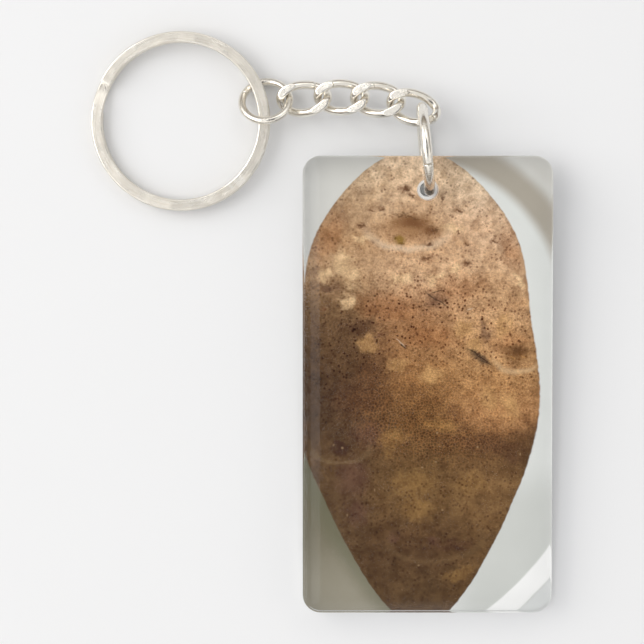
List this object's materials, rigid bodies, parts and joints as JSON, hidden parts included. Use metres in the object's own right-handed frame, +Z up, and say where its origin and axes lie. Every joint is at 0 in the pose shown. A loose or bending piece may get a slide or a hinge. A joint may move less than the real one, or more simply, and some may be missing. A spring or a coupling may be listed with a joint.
{
  "type": "acrylic photo keychain",
  "caption": "Split ring, jump ring and short curb chain carrying a clear rounded acrylic tag with a printed picture of a potato on a plate.",
  "frame": {"origin": "middle of the footprint, on the surface that the keychain lies on", "axes": "+Z up from the surface; +Y from the tag's lower end towards the chain; +X from the split ring towards the tag"},
  "size_m": [0.0639, 0.0806, 0.013],
  "materials": {
    "plated_steel": "nickel plating with a warm tone, lightly brushed on the flat wire and polished on the round wire",
    "clear_acrylic": "clear cast acrylic, polished faces and rounded edges",
    "picture_ink": "printed film with a picture of a brown potato on a pale plate",
    "white_acrylic": "plain white acrylic, glossy"
  },
  "bodies": {
    "split_ring": {"split_ring": "plated_steel"},
    "jump_ring": {"jump_ring": "plated_steel"},
    "chain_link_1": {"chain_link_1": "plated_steel"},
    "chain_link_2": {"chain_link_2": "plated_steel"},
    "chain_link_3": {"chain_link_3": "plated_steel"},
    "chain_link_4": {"chain_link_4": "plated_steel"},
    "connector_ring": {"connector_ring": "plated_steel"},
    "tag": {"back_plate": "white_acrylic", "picture_print": "picture_ink", "front_plate": "clear_acrylic"}
  },
  "joints": [
    {"name": "jump_ring_on_split_ring", "type": "hinge", "parent": "split_ring", "child": "jump_ring", "pos_m": [-0.01958, 0.02795, 0.0008], "axis": [-0.057, -0.0302, 0.9979], "continuous": true},
    {"name": "link_1_on_jump_ring", "type": "hinge", "parent": "jump_ring", "child": "chain_link_1", "pos_m": [-0.0078, 0.03065, 0.00237], "axis": [-0.0936, 0.5365, 0.8387], "range_deg": [-36, 60]},
    {"name": "link_2_on_link_1", "type": "hinge", "parent": "chain_link_1", "child": "chain_link_2", "pos_m": [0.0001, 0.03116, 0.00311], "axis": [0.1219, 0, -0.9925], "range_deg": [-24, 24]},
    {"name": "link_3_on_link_2", "type": "hinge", "parent": "chain_link_2", "child": "chain_link_3", "pos_m": [0.00521, 0.03105, 0.00377], "axis": [-0.1219, 0, 0.9925], "range_deg": [-24, 30]},
    {"name": "link_4_on_link_3", "type": "hinge", "parent": "chain_link_3", "child": "chain_link_4", "pos_m": [0.01023, 0.03048, 0.00446], "axis": [0.1219, 0, -0.9925], "range_deg": [-28, 22]},
    {"name": "connector_ring_on_link_4", "type": "hinge", "parent": "chain_link_4", "child": "connector_ring", "pos_m": [0.01369, 0.02952, 0.0065], "axis": [0, 0, 1], "range_deg": [-18, 60]},
    {"name": "tag_on_connector_ring", "type": "hinge", "parent": "connector_ring", "child": "tag", "pos_m": [0.01424, 0.0238, 0.0065], "axis": [-0.9954, -0.0958, 0], "range_deg": [-85, 130]}
  ]
}
